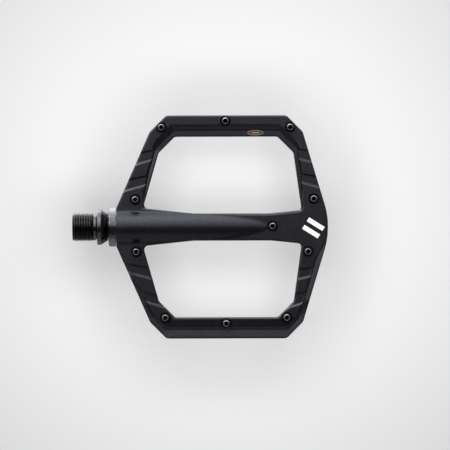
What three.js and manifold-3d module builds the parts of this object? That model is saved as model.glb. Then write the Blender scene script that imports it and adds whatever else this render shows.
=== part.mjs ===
// Bicycle flat pedal, left as an assembly of separate pieces. Millimetres.
// +X runs along the spindle from the crank outwards, +Y is the front edge, +Z is tread side A.
// The origin is on the spindle's axis, midway along the overall length.
import * as THREE from 'three';
import { mergeVertices } from 'three/addons/utils/BufferGeometryUtils.js';
import Module from 'manifold-3d';

const wasm = await Module();
wasm.setup();

// ---------------------------------------------------------------- driving dimensions
// Cage: plan outline as corners [x, y, fillet radius], counter-clockwise, symmetric about the spindle
const CAGE_FRONT = 55.7;
const CAGE_INBOARD = -41.75;
const NOSE_X = 65.65;
const NOSE_RADIUS = 40;
const CAGE_OUTLINE = [
  [CAGE_INBOARD, -9.6, 1.4],
  [-25.0, -47.5, 3],
  [-16.8, -CAGE_FRONT, 3],
  [43.2, -CAGE_FRONT, 3],
  [51.4, -47.4, 3],
  [NOSE_X, 0, NOSE_RADIUS],
  [51.4, 47.4, 3],
  [43.2, CAGE_FRONT, 3],
  [-16.8, CAGE_FRONT, 3],
  [-25.0, 47.5, 3],
  [CAGE_INBOARD, 9.6, 1.4],
];
// The front window; the rear one is its mirror image
const WINDOW_OUTLINE = [
  [-28.55, 9.5, 2.2],
  [-3.3, 6.85, 20],
  [35.4, 6.85, 20],
  [50.8, 8.45, 1.8],
  [46.8, 37.15, 2.5],
  [38.8, 45.15, 2.5],
  [-12.6, 45.15, 2.5],
  [-20.7, 37.0, 2.5],
];
const LAND_Z = 6.0;
const STEP_DOWN = 1.4;
const LOW_Z = LAND_Z - STEP_DOWN;
const STEP_RUN = 1.6;
const EDGE_CHAMFER = 0.8;
// The low strip along the front window on side A: how far its floor reaches beyond each window edge.
// The strip is not cut along the spar, where a negative reach keeps the cutter inside the window.
const INNER_STRIP_REACH = [-3, -3, -3, 2.0, 2.8, 3.3, 2.8, 2.0];
// The low strip along the rear edge on side A: how far its floor reaches in from each cage edge
const OUTER_STRIP_REACH = [2.2, 2.7, 3.2, 2.7, 2.3, -3, -3, -3, -3, -3, -3];
const OUTER_STRIP_START = { inboard: -23.5, outboard: -5 };
// Recesses across the rails on side A, as [y at the cage's edge, y at the window] of their two long sides
const INBOARD_RECESSES = [
  [[37.0, 39.0], [31.1, 34.2]],
  [[23.6, 26.1], [17.8, 21.5]],
  [[-18.2, -20.2], [-22.5, -25.9]],
  [[-31.9, -34.0], [-36.5, -39.4]],
];
const OUTBOARD_RECESSES = [
  [[37.8, 39.0], [32.2, 34.5]],
  [[24.9, 27.0], [19.5, 22.6]],
  [[-20.0, -21.3], [-24.0, -26.3]],
  [[-32.3, -33.4], [-36.9, -39.6]],
];
const RECESS_WALL_RUN = 0.7;

// Axle tube: [x, outer radius] from the inboard face until it sinks into the spar
const TUBE_PROFILE = [
  [CAGE_INBOARD, 9.3],
  [CAGE_INBOARD + 0.5, 9.6],
  [-29, 9.5],
  [-14, 8.75],
  [0, 8.4],
  [15.8, 7.5],
  [25.8, 6.7],
  [34.5, 5.8],
];

// Traction pins of side A, [x, y]; side B has the same pins after a half-turn about the spindle
const PIN_PLACES = [
  [-19.2, 49.7],
  [12.8, 52.9],
  [45.1, 49.7],
  [-32.3, 13.8],
  [56.8, 14.0],
  [36.2, 0.4],
  [-31.8, -12.3],
  [53.9, -12.3],
  [-17.4, -45.2],
  [13.0, -48.1],
  [43.2, -45.2],
];
const PIN_RADIUS = 2.0;
const PIN_TIP_Z = 10.5;
const PIN_END_Z = 2.4;
const PIN_CHAMFER = 0.35;
const PIN_SOCKET_FLATS = 2.0;
const PIN_SOCKET_DEPTH = 1.8;
const PIN_HOLE_RADIUS = 2.2;
const PIN_HOLE_END_Z = 2.0;
const COUNTERSINK_RADIUS = 2.8;

// Spindle: crank thread of 9/16 inch by 20 threads per inch, round flange, cone, journal and bearing seat
const SPINDLE_START = -63.75;
const THREAD_RADIUS = 7.14;
const THREAD_RELIEF_RADIUS = 6.6;
const THREAD_CHAMFER = 0.9;
const THREAD_RELIEF_X = -53.1;
const FLANGE_START = -51.35;
const FLANGE_ROOT_RADIUS = 7.3;
const FLANGE_ROOT_RUN = 0.5;
const FLANGE_END = -49.15;
const FLANGE_RADIUS = 8.85;
const FLANGE_CHAMFER = 0.4;
const CONE_END = -46.1;
const CONE_END_RADIUS = 6.7;
const JOURNAL_RADIUS = 5.0;
const JOURNAL_END = -27;
const SHANK_RADIUS = 4.2;
const SHANK_START = -24;
const SEAT_START = -0.3;
const SEAT_RADIUS = 2.9;
const SPINDLE_END = 13.8;
const TIP_CHAMFER = 0.5;
const KEY_FLATS = 8;
const KEY_DEPTH = 7;

// Retaining nut: hexagon outside, sleeve screwed into the cage
const NUT_START = -45.8;
const NUT_SHOULDER = -42.05;
const NUT_FLATS = 17;
const NUT_CHAMFER = 0.6;
const NUT_TILT_DEG = 2;
const NUT_SLEEVE_RADIUS = 7.5;
const NUT_SLEEVE_END = -30;
const NUT_BORE_RADIUS = 6.1;
const SEAL_POCKET_END = -43.9;
const SEAL_POCKET_RADIUS = 7.1;
const SEAL_START = -45.6;
const BUSHING_START = -43.5;
const BUSHING_END = -30.5;

// Bore of the cage, from the inboard face: nut, spacer and bearings, lock nut
const NUT_BORE_END = -29.3;
const CAGE_NUT_BORE_RADIUS = 7.65;
const BEARING_BORE_RADIUS = 6.1;
const BEARING_BORE_END = 8.6;
const TIP_BORE_RADIUS = 5.2;
const BORE_END = 15;
const SPACER_START = -29.0;
const SPACER_END = -0.3;
const SPACER_INNER_RADIUS = 5.3;

// Cartridge bearings 6 x 12 x 4
const BEARING_STARTS = [0, 4.3];
const BEARING_WIDTH = 4;
const BEARING_INNER_RADIUS = 3.0;
const BEARING_OUTER_RADIUS = 6.0;
const INNER_RING_RADIUS = 3.9;
const OUTER_RING_RADIUS = 5.1;
const BALL_RADIUS = 0.8;
const BALL_PITCH_RADIUS = 4.5;
const BALL_COUNT = 7;
const RACEWAY_RADIUS = 0.9;
const CAGE_RING_HALF_THICKNESS = 0.3;
const CAGE_RING_HALF_WIDTH = 0.5;
const SEAL_THICKNESS = 0.4;
const SEAL_SETBACK = 0.15;
const RUNNING_GAP = 0.1;
const SEAL_LIP = { start: 0.6, end: 1.0, rim: 0.8, web: 1.0 };

const WASHER = { start: 8.6, end: 9.3, inner: 3.05, outer: 4.4 };
const LOCK_NUT = { start: 9.6, end: 12.6, flats: 8, bore: 3.05 };

// Oval badge, set on the low strip of the front bar
const BADGE = { x: 27.8, y: 46.95, halfLength: 4.0, halfWidth: 1.3, thickness: 0.35, gap: 0.05 };

// Roundness of turned pieces, in sides
const TUBE_SIDES = 40;
const SPINDLE_SIDES = 32;
const RING_SIDES = 24;
const PIN_SIDES = 12;
const ARC_STEPS = 2;
const BALL_SIDES = 8;
const BALL_RINGS = 6;
// How far a cutting tool runs past the surface that it opens
const CUTTER_OVERRUN = 3;

// ---------------------------------------------------------------- finishes
const BLACK_ANODISED = { color: 0x27282c, roughness: 0.55, metalness: 0.4 };
const BLACK_STEEL = { color: 0x15161a, roughness: 0.25, metalness: 0.7 };
const PIN_STEEL = { color: 0x3a3b3e, roughness: 0.3, metalness: 0.9 };
const BRIGHT_STEEL = { color: 0xb9bcc0, roughness: 0.25, metalness: 1 };
const BRONZE = { color: 0x9b7740, roughness: 0.4, metalness: 0.9 };
const BLACK_RUBBER = { color: 0x1b1b1c, roughness: 0.8, metalness: 0 };
const TAN_ENAMEL = { color: 0xc9a27a, roughness: 0.4, metalness: 0.2 };

// ---------------------------------------------------------------- solids
// A closed solid from any closed geometry, with its faces turned outwards
function solidFrom(geometry) {
  const bare = geometry.clone();
  bare.deleteAttribute('normal');
  bare.deleteAttribute('uv');
  const merged = mergeVertices(bare, 1e-4);
  const vertProperties = merged.attributes.position.array;
  const corners = Array.from(merged.index.array);
  const triangles = [];
  let volume = 0;
  const [a, b, c] = [new THREE.Vector3(), new THREE.Vector3(), new THREE.Vector3()];
  for (let i = 0; i < corners.length; i += 3) {
    const [p, q, r] = corners.slice(i, i + 3);
    if (p === q || q === r || r === p) continue;
    triangles.push([p, q, r]);
    a.fromArray(vertProperties, 3 * p);
    b.fromArray(vertProperties, 3 * q);
    c.fromArray(vertProperties, 3 * r);
    volume += a.dot(b.cross(c));
  }
  const outward = volume > 0 ? triangles : triangles.map(([p, q, r]) => [p, r, q]);
  const triVerts = new Uint32Array(outward.flat());
  return new wasm.Manifold(new wasm.Mesh({ numProp: 3, vertProperties, triVerts }));
}

function geometryFrom(solid) {
  const mesh = solid.getMesh();
  const geometry = new THREE.BufferGeometry();
  geometry.setAttribute('position', new THREE.BufferAttribute(mesh.vertProperties, 3));
  geometry.setIndex(new THREE.BufferAttribute(mesh.triVerts, 1));
  const faceted = geometry.toNonIndexed();
  faceted.computeVertexNormals();
  return faceted;
}

function piece(name, solid, finish) {
  const mesh = new THREE.Mesh(geometryFrom(solid), new THREE.MeshStandardMaterial(finish));
  mesh.name = name;
  return mesh;
}

// A solid turned about the X axis from a profile of [x, radius] points
function turned(profile, sides) {
  const points = profile.map(([x, radius]) => new THREE.Vector2(radius, x));
  return solidFrom(new THREE.LatheGeometry(points, sides).rotateZ(-Math.PI / 2));
}

// A plain turned ring about the X axis
function turnedRing(start, end, inner, outer, sides) {
  return turned([[start, inner], [start, outer], [end, outer], [end, inner], [start, inner]], sides);
}

// A hexagonal prism along X, with a corner pointing to +Y
function hexAlongX(start, end, flats) {
  const prism = new THREE.CylinderGeometry(flats / Math.sqrt(3), flats / Math.sqrt(3), end - start, 6);
  return solidFrom(prism.rotateX(Math.PI / 2).rotateY(Math.PI / 2).rotateX(Math.PI / 2)
    .translate((start + end) / 2, 0, 0));
}

// A closed shape from corners [x, y, fillet radius] listed counter-clockwise
function filletedShape(corners) {
  const shape = new THREE.Shape();
  corners.forEach(([x, y, radius = 0], i) => {
    const corner = new THREE.Vector2(x, y);
    const before = new THREE.Vector2(...corners.at(i - 1).slice(0, 2)).sub(corner).normalize();
    const after = new THREE.Vector2(...corners[(i + 1) % corners.length].slice(0, 2)).sub(corner).normalize();
    const halfAngle = Math.acos(before.dot(after)) / 2;
    const cut = radius / Math.tan(halfAngle);
    const start = corner.clone().addScaledVector(before, cut);
    if (i === 0) shape.moveTo(start.x, start.y);
    else if (radius === 0) shape.lineTo(start.x, start.y);
    if (radius === 0) return;
    const end = corner.clone().addScaledVector(after, cut);
    const middle = before.clone().add(after).setLength(radius / Math.sin(halfAngle)).add(corner);
    const clockwise = before.cross(after) > 0;
    const from = start.sub(middle).angle();
    const to = end.sub(middle).angle();
    shape.absarc(middle.x, middle.y, radius, from, to, clockwise);
  });
  shape.closePath();
  return shape;
}

// The corners of an outline after each edge (from corner i to corner i + 1) moves inwards by its own inset
function insetCorners(corners, insets) {
  const edges = corners.map(([x, y], i) => {
    const [nextX, nextY] = corners[(i + 1) % corners.length];
    const along = new THREE.Vector2(nextX - x, nextY - y).normalize();
    const inward = new THREE.Vector2(-along.y, along.x);
    return { point: new THREE.Vector2(x, y).addScaledVector(inward, insets[i]), along };
  });
  return corners.map(([, , radius], i) => {
    const [first, second] = [edges.at(i - 1), edges[i]];
    const gap = second.point.clone().sub(first.point);
    const distance = gap.cross(second.along) / first.along.cross(second.along);
    const corner = first.point.clone().addScaledVector(first.along, distance);
    return [corner.x, corner.y, radius];
  });
}

// A flat-topped slab with chamfered edges, centred on the spindle's plane
function chamferedSlab(shape, halfThickness, chamfer) {
  const slab = new THREE.ExtrudeGeometry(shape, {
    depth: 2 * (halfThickness - chamfer),
    bevelThickness: chamfer,
    bevelSize: chamfer,
    bevelOffset: -chamfer,
    bevelSegments: 1,
    curveSegments: ARC_STEPS,
  });
  return solidFrom(slab.translate(0, 0, chamfer - halfThickness));
}

// A cutter for side A whose floor has the given shape at the low level and whose walls lean outwards
function loweringCutter(shape, wallRun) {
  const cutter = new THREE.ExtrudeGeometry(shape, {
    depth: CUTTER_OVERRUN,
    bevelThickness: STEP_DOWN,
    bevelSize: wallRun,
    bevelSegments: 1,
    curveSegments: 1,
  });
  return solidFrom(cutter.translate(0, 0, LAND_Z));
}

function boxBetween(low, high) {
  const size = high.map((value, i) => value - low[i]);
  const middle = high.map((value, i) => (value + low[i]) / 2);
  return solidFrom(new THREE.BoxGeometry(...size).translate(...middle));
}

// ---------------------------------------------------------------- the cage
const mirrored = (corners) => corners.map(([x, y, radius]) => [x, -y, radius]).reverse();

// Where a straight line through two corners of an outline crosses a given y
function lineX([x1, y1], [x2, y2], y) {
  return x1 + ((x2 - x1) * (y - y1)) / (y2 - y1);
}

// The low strip that follows the front window's bar, corners and rails
function innerStripCutter() {
  const reach = INNER_STRIP_REACH.map((distance) => -distance);
  const corners = insetCorners(WINDOW_OUTLINE, reach).map(([x, y]) => [x, y, 0]);
  return loweringCutter(filletedShape(corners), STEP_RUN);
}

// The low strip that follows the cage's rear edge, corners and rails
function outerStripCutter() {
  const land = insetCorners(CAGE_OUTLINE, OUTER_STRIP_REACH).map(([x, y]) => [x, y, 0]);
  const far = 2 * NOSE_X;
  const all = new THREE.Shape([
    new THREE.Vector2(-far, -far),
    new THREE.Vector2(far, -far),
    new THREE.Vector2(far, far),
    new THREE.Vector2(-far, far),
  ]);
  all.holes.push(filletedShape(land));
  const keepInboard = boxBetween([-far, OUTER_STRIP_START.inboard, -far], [0, far, far]);
  const keepOutboard = boxBetween([0, OUTER_STRIP_START.outboard, -far], [far, far, far]);
  return loweringCutter(all, STEP_RUN).subtract(keepInboard).subtract(keepOutboard);
}

// One recess across a rail; both ends run past the rail, and outwards is the side the rail's edge faces
function recessCutter([[outerA, innerA], [outerB, innerB]], edge, window, outwards) {
  const past = CUTTER_OVERRUN * outwards;
  const half = RECESS_WALL_RUN / 2;
  const mirror = Math.sign(outerA);
  const windowLine = window.map(([x, y]) => [x, y * mirror]);
  const edgeLine = edge.map(([x, y]) => [x, y * mirror]);
  const corners = [
    [lineX(...edgeLine, outerA) + past, outerA - half],
    [lineX(...windowLine, innerA) - past, innerA - half],
    [lineX(...windowLine, innerB) - past, innerB + half],
    [lineX(...edgeLine, outerB) + past, outerB + half],
  ];
  const points = corners.map(([x, y]) => new THREE.Vector2(x, y));
  return loweringCutter(new THREE.Shape(points), RECESS_WALL_RUN);
}

function recessCutters() {
  const inboardEdge = [CAGE_OUTLINE[9], CAGE_OUTLINE[10]];
  const inboardWindow = [WINDOW_OUTLINE[7], WINDOW_OUTLINE[0]];
  const outboardEdge = [CAGE_OUTLINE[6], CAGE_OUTLINE[5]];
  const outboardWindow = [WINDOW_OUTLINE[4], WINDOW_OUTLINE[3]];
  return [
    ...INBOARD_RECESSES.map((recess) => recessCutter(recess, inboardEdge, inboardWindow, -1)),
    ...OUTBOARD_RECESSES.map((recess) => recessCutter(recess, outboardEdge, outboardWindow, 1)),
  ];
}

// The threaded hole and countersink of one pin on side A
function pinHole([x, y]) {
  const profile = [
    [PIN_HOLE_END_Z, 0],
    [PIN_HOLE_END_Z, PIN_HOLE_RADIUS],
    [LAND_Z - (COUNTERSINK_RADIUS - PIN_HOLE_RADIUS), PIN_HOLE_RADIUS],
    [LAND_Z, COUNTERSINK_RADIUS],
    [LAND_Z + CUTTER_OVERRUN, COUNTERSINK_RADIUS],
    [LAND_Z + CUTTER_OVERRUN, 0],
  ];
  return turned(profile, PIN_SIDES).rotate([0, -90, 0]).translate([x, y, 0]);
}

function cageBore() {
  return turned([
    [CAGE_INBOARD - CUTTER_OVERRUN, 0],
    [CAGE_INBOARD - CUTTER_OVERRUN, CAGE_NUT_BORE_RADIUS],
    [NUT_BORE_END, CAGE_NUT_BORE_RADIUS],
    [NUT_BORE_END, BEARING_BORE_RADIUS],
    [BEARING_BORE_END, BEARING_BORE_RADIUS],
    [BEARING_BORE_END, TIP_BORE_RADIUS],
    [BORE_END, TIP_BORE_RADIUS],
    [BORE_END, 0],
  ], TUBE_SIDES);
}

function platformBody() {
  const plan = filletedShape(CAGE_OUTLINE);
  plan.holes.push(filletedShape(WINDOW_OUTLINE), filletedShape(mirrored(WINDOW_OUTLINE)));
  const loweringA = [innerStripCutter(), outerStripCutter(), ...recessCutters()];
  const tube = turned([[CAGE_INBOARD, 0], ...TUBE_PROFILE, [TUBE_PROFILE.at(-1)[0], 0]], TUBE_SIDES);
  const holesA = PIN_PLACES.map(pinHole);
  const turnOver = (solid) => solid.rotate([180, 0, 0]);
  const lowering = [...loweringA, ...loweringA.map(turnOver)];
  const boring = [cageBore(), ...holesA, ...holesA.map(turnOver)];
  const slab = chamferedSlab(plan, LAND_Z, EDGE_CHAMFER);
  const lowered = lowering.reduce((solid, cutter) => solid.subtract(cutter), slab);
  return boring.reduce((solid, cutter) => solid.subtract(cutter), lowered.add(tube));
}

// ---------------------------------------------------------------- pins
function pinSolid([x, y]) {
  const body = turned([
    [PIN_END_Z, 0],
    [PIN_END_Z, PIN_RADIUS - PIN_CHAMFER],
    [PIN_END_Z + PIN_CHAMFER, PIN_RADIUS],
    [PIN_TIP_Z - PIN_CHAMFER, PIN_RADIUS],
    [PIN_TIP_Z, PIN_RADIUS - PIN_CHAMFER],
    [PIN_TIP_Z, 0],
  ], PIN_SIDES);
  const socket = hexAlongX(PIN_TIP_Z - PIN_SOCKET_DEPTH, PIN_TIP_Z + CUTTER_OVERRUN, PIN_SOCKET_FLATS);
  return body.subtract(socket).rotate([0, -90, 0]).translate([x, y, 0]);
}

function pins() {
  return PIN_PLACES.flatMap((place, i) => {
    const number = String(i + 1).padStart(2, '0');
    const solid = pinSolid(place);
    return [
      piece(`pin_a_${number}`, solid, PIN_STEEL),
      piece(`pin_b_${number}`, solid.rotate([180, 0, 0]), PIN_STEEL),
    ];
  });
}

// ---------------------------------------------------------------- spindle and its retaining nut
function spindle() {
  const body = turned([
    [SPINDLE_START, 0],
    [SPINDLE_START, THREAD_RADIUS - THREAD_CHAMFER],
    [SPINDLE_START + THREAD_CHAMFER, THREAD_RADIUS],
    [THREAD_RELIEF_X, THREAD_RADIUS],
    [THREAD_RELIEF_X + (THREAD_RADIUS - THREAD_RELIEF_RADIUS), THREAD_RELIEF_RADIUS],
    [FLANGE_START - FLANGE_ROOT_RUN, THREAD_RELIEF_RADIUS],
    [FLANGE_START, FLANGE_ROOT_RADIUS],
    [FLANGE_START, FLANGE_RADIUS - FLANGE_CHAMFER],
    [FLANGE_START + FLANGE_CHAMFER, FLANGE_RADIUS],
    [FLANGE_END - FLANGE_CHAMFER, FLANGE_RADIUS],
    [CONE_END, CONE_END_RADIUS],
    [CONE_END, JOURNAL_RADIUS],
    [JOURNAL_END, JOURNAL_RADIUS],
    [SHANK_START, SHANK_RADIUS],
    [SEAT_START, SHANK_RADIUS],
    [SEAT_START, SEAT_RADIUS],
    [SPINDLE_END - TIP_CHAMFER, SEAT_RADIUS],
    [SPINDLE_END, SEAT_RADIUS - TIP_CHAMFER],
    [SPINDLE_END, 0],
  ], SPINDLE_SIDES);
  const keySocket = hexAlongX(SPINDLE_START - CUTTER_OVERRUN, SPINDLE_START + KEY_DEPTH, KEY_FLATS);
  return body.subtract(keySocket);
}

function retainingNut() {
  const corner = NUT_FLATS / Math.sqrt(3);
  const rounding = turned([
    [NUT_START, 0],
    [NUT_START, corner - NUT_CHAMFER],
    [NUT_START + NUT_CHAMFER / 2, corner],
    [NUT_START + NUT_CHAMFER, corner + NUT_CHAMFER],
    [NUT_SHOULDER, corner + NUT_CHAMFER],
    [NUT_SHOULDER, 0],
  ], TUBE_SIDES);
  const head = hexAlongX(NUT_START, NUT_SHOULDER, NUT_FLATS).rotate([NUT_TILT_DEG, 0, 0]).intersect(rounding);
  const sleeve = turned([
    [SEAL_POCKET_END, 0],
    [SEAL_POCKET_END, NUT_SLEEVE_RADIUS],
    [NUT_SLEEVE_END, NUT_SLEEVE_RADIUS],
    [NUT_SLEEVE_END, 0],
  ], TUBE_SIDES);
  const bore = turned([
    [NUT_START - CUTTER_OVERRUN, 0],
    [NUT_START - CUTTER_OVERRUN, SEAL_POCKET_RADIUS],
    [SEAL_POCKET_END, SEAL_POCKET_RADIUS],
    [SEAL_POCKET_END, NUT_BORE_RADIUS],
    [NUT_SLEEVE_END + CUTTER_OVERRUN, NUT_BORE_RADIUS],
    [NUT_SLEEVE_END + CUTTER_OVERRUN, 0],
  ], TUBE_SIDES);
  return head.add(sleeve).subtract(bore);
}

// A wiper ring with a thin lip towards the spindle
function lipSeal() {
  const outer = SEAL_POCKET_RADIUS - RUNNING_GAP;
  const lip = JOURNAL_RADIUS + RUNNING_GAP;
  const end = SEAL_POCKET_END - RUNNING_GAP;
  return turned([
    [SEAL_START, outer],
    [SEAL_START, outer - SEAL_LIP.rim],
    [SEAL_START + SEAL_LIP.start, lip],
    [SEAL_START + SEAL_LIP.end, lip],
    [end, outer - SEAL_LIP.web],
    [end, outer],
    [SEAL_START, outer],
  ], SPINDLE_SIDES);
}

const inboardBushing = () => turnedRing(
  BUSHING_START, BUSHING_END, JOURNAL_RADIUS + RUNNING_GAP, NUT_BORE_RADIUS - RUNNING_GAP, SPINDLE_SIDES,
);

const spacerSleeve = () => turnedRing(
  SPACER_START, SPACER_END, SPACER_INNER_RADIUS, BEARING_BORE_RADIUS - RUNNING_GAP, RING_SIDES,
);

// ---------------------------------------------------------------- cartridge bearings
// Points across a raceway groove, from one side of the ring to the other; side is 1 for the outer ring
function raceway(middle, edgeRadius, side) {
  const deep = (offset) => BALL_PITCH_RADIUS + side * Math.sqrt(RACEWAY_RADIUS ** 2 - offset ** 2);
  const halfWidth = Math.sqrt(RACEWAY_RADIUS ** 2 - (edgeRadius - BALL_PITCH_RADIUS) ** 2);
  return [-1, -0.55, 0, 0.55, 1].map((share) => [middle + share * halfWidth, deep(share * halfWidth)]);
}

function bearingRing(start, wallRadius, edgeRadius, side) {
  const end = start + BEARING_WIDTH;
  const groove = raceway((start + end) / 2, edgeRadius, side);
  return turned([
    [start, wallRadius],
    [start, edgeRadius],
    ...groove,
    [end, edgeRadius],
    [end, wallRadius],
    [start, wallRadius],
  ], RING_SIDES);
}

// The balls and the thin ring that spaces them, as one rolling set
function ballSet(start) {
  const middle = start + BEARING_WIDTH / 2;
  const ring = turnedRing(
    middle - CAGE_RING_HALF_WIDTH,
    middle + CAGE_RING_HALF_WIDTH,
    BALL_PITCH_RADIUS - CAGE_RING_HALF_THICKNESS,
    BALL_PITCH_RADIUS + CAGE_RING_HALF_THICKNESS,
    2 * BALL_COUNT,
  );
  const ball = solidFrom(new THREE.SphereGeometry(BALL_RADIUS, BALL_SIDES, BALL_RINGS));
  const places = Array.from({ length: BALL_COUNT }, (_, i) => (2 * Math.PI * i) / BALL_COUNT);
  return places.reduce((set, angle) => set.add(ball.translate([
    middle,
    BALL_PITCH_RADIUS * Math.cos(angle),
    BALL_PITCH_RADIUS * Math.sin(angle),
  ])), ring);
}

function bearingSeal(start) {
  const inner = INNER_RING_RADIUS + RUNNING_GAP;
  const outer = OUTER_RING_RADIUS - RUNNING_GAP;
  return turnedRing(start, start + SEAL_THICKNESS, inner, outer, RING_SIDES);
}

function bearings() {
  return BEARING_STARTS.flatMap((start, i) => {
    const name = `bearing_${i + 1}`;
    const farSeal = start + BEARING_WIDTH - SEAL_SETBACK - SEAL_THICKNESS;
    return [
      piece(`${name}_inner_ring`, bearingRing(start, BEARING_INNER_RADIUS, INNER_RING_RADIUS, -1), BRIGHT_STEEL),
      piece(`${name}_outer_ring`, bearingRing(start, BEARING_OUTER_RADIUS, OUTER_RING_RADIUS, 1), BRIGHT_STEEL),
      piece(`${name}_balls`, ballSet(start), BRIGHT_STEEL),
      piece(`${name}_seal_inboard`, bearingSeal(start + SEAL_SETBACK), BLACK_RUBBER),
      piece(`${name}_seal_outboard`, bearingSeal(farSeal), BLACK_RUBBER),
    ];
  });
}

const bearingWasher = () => turnedRing(WASHER.start, WASHER.end, WASHER.inner, WASHER.outer, RING_SIDES);

function lockNut() {
  const bore = turned([
    [LOCK_NUT.start - CUTTER_OVERRUN, 0],
    [LOCK_NUT.start - CUTTER_OVERRUN, LOCK_NUT.bore],
    [LOCK_NUT.end + CUTTER_OVERRUN, LOCK_NUT.bore],
    [LOCK_NUT.end + CUTTER_OVERRUN, 0],
  ], RING_SIDES);
  return hexAlongX(LOCK_NUT.start, LOCK_NUT.end, LOCK_NUT.flats).subtract(bore);
}

// ---------------------------------------------------------------- badge
function ovalBadge() {
  const outline = new THREE.Shape().absellipse(0, 0, BADGE.halfLength, BADGE.halfWidth, 0, 2 * Math.PI);
  const plate = new THREE.ExtrudeGeometry(outline, {
    depth: BADGE.thickness,
    bevelEnabled: false,
    curveSegments: 12,
  });
  return solidFrom(plate.translate(BADGE.x, BADGE.y, LOW_Z + BADGE.gap));
}

// ---------------------------------------------------------------- assembly
const pedal = new THREE.Group();
pedal.add(
  piece('platform_body', platformBody(), BLACK_ANODISED),
  piece('oval_badge', ovalBadge(), TAN_ENAMEL),
  ...pins(),
  piece('spindle', spindle(), BLACK_STEEL),
  piece('retaining_nut', retainingNut(), BLACK_STEEL),
  piece('lip_seal', lipSeal(), BLACK_RUBBER),
  piece('inboard_bushing', inboardBushing(), BRONZE),
  piece('spacer_sleeve', spacerSleeve(), BRIGHT_STEEL),
  ...bearings(),
  piece('bearing_washer', bearingWasher(), BRIGHT_STEEL),
  piece('lock_nut', lockNut(), BRIGHT_STEEL),
);

export default pedal;
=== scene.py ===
"""Looks of a bicycle flat pedal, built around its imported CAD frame.

The frame is in metres: +X runs along the spindle away from the crank, +Y is the front edge and
+Z is tread side A. Shape dimensions below are in millimetres, and MM turns them into metres.
"""

import math

import bpy
import numpy as np
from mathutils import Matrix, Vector
from mathutils.geometry import delaunay_2d_cdt


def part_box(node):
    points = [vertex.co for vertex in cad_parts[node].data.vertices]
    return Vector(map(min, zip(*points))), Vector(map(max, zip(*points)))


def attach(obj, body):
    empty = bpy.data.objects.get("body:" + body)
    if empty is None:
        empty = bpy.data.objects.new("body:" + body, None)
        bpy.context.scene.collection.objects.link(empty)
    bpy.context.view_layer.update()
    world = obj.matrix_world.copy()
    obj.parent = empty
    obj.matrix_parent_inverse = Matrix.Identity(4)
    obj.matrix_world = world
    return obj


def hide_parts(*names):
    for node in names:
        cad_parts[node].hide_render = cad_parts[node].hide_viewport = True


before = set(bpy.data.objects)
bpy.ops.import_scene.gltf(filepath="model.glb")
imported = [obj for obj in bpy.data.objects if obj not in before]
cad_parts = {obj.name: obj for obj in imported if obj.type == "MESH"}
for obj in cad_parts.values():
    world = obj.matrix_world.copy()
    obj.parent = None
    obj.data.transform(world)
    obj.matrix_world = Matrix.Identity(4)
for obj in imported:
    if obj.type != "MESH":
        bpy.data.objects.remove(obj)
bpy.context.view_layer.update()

MM = 0.001
PIN_NODES = {side: sorted(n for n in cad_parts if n.startswith(f"pin_{side}_")) for side in "ab"}

# ---------------- the cage's shape
# Plan outlines as in the CAD source: corners (x, y, fillet radius), counter-clockwise
CAGE_FRONT = 55.7
CAGE_INBOARD = -41.75
NOSE_X = 65.65
CAGE_REAR_HALF = [
    (CAGE_INBOARD, -9.6, 1.4),
    (-25.0, -47.5, 3.0),
    (-16.8, -CAGE_FRONT, 3.0),
    (43.2, -CAGE_FRONT, 3.0),
    (51.4, -47.4, 3.0),
]
CAGE_OUTLINE = CAGE_REAR_HALF + [(NOSE_X, 0.0, 40.0)] + [(x, -y, r) for x, y, r in reversed(CAGE_REAR_HALF)]
WINDOW_OUTLINE = [
    (-28.55, 9.5, 2.2),
    (-3.3, 6.85, 20.0),
    (35.4, 6.85, 20.0),
    (50.8, 8.45, 1.8),
    (46.8, 37.15, 2.5),
    (38.8, 45.15, 2.5),
    (-12.6, 45.15, 2.5),
    (-20.7, 37.0, 2.5),
]
LAND_Z = 6.0
STEP_DOWN = 1.4
LOW_Z = LAND_Z - STEP_DOWN

# Low strips: how far the floor reaches in from each edge of its outline; below zero there is no strip
INNER_REACH = [-0.9, -0.7, -0.9, 2.0, 2.8, 3.3, 2.8, 2.0]
OUTER_REACH = [2.2, 2.7, 4.6, 2.9, 2.8, -3, -3, -3, -3, -3, -3]
# The strips beside the windows narrow towards the hub, then leave the window's edge: each as (y, run).
# Those outside start from nothing.
INNER_TAPER = (10.5, 16.5)
INNER_LEAST = 0.6
INNER_END = (9.0, 9.0)
INNER_GONE = 1.2
OUTER_START = {"inboard": -22.0, "outboard": -3.2}
OUTER_TAPER = 13.0
NO_STRIP = 9
# Where the rails turn into chamfers and bars, as (distance from the spindle, run)
CHAMFER_EASE = (36.5, 2.5)
BAR_EASE = (43.5, 3)
SLOPE_EASE = (38, 6)
# Rise of a strip towards its free edge; for the rails (inboard, outboard), for the chamfers (front, rear)
FRONT_RAIL_RISE_DEG = (8.0, 5.0)
REAR_RAIL_RISE_DEG = (-1.0, 6.3)
CHAMFER_RISE_DEG = (0.5, 3.0)
FRONT_BAR_RISE_DEG = 0.0
REAR_BAR_RISE_DEG = 6.0
RISE_LENGTH = 4
# The rear bar's land falls away behind this distance from the spindle
BAR_SLOPE_DEG = 5.0
BAR_SLOPE_START = 46.3
BAR_SLOPE_EASE = (44, 2)

# Recesses across the rails as in the CAD source: (y at the cage's edge, y at the window) of their long sides
INBOARD_RECESSES = [
    ((37.0, 39.0), (31.1, 34.2)),
    ((23.6, 26.1), (17.8, 21.5)),
    ((-18.2, -20.2), (-22.5, -25.9)),
    ((-31.9, -34.0), (-36.5, -39.4)),
]
OUTBOARD_RECESSES = [
    ((37.8, 39.0), (32.2, 34.5)),
    ((24.9, 27.0), (19.5, 22.6)),
    ((-20.0, -21.3), (-24.0, -26.3)),
    ((-32.3, -33.4), (-36.9, -39.6)),
]
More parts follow.
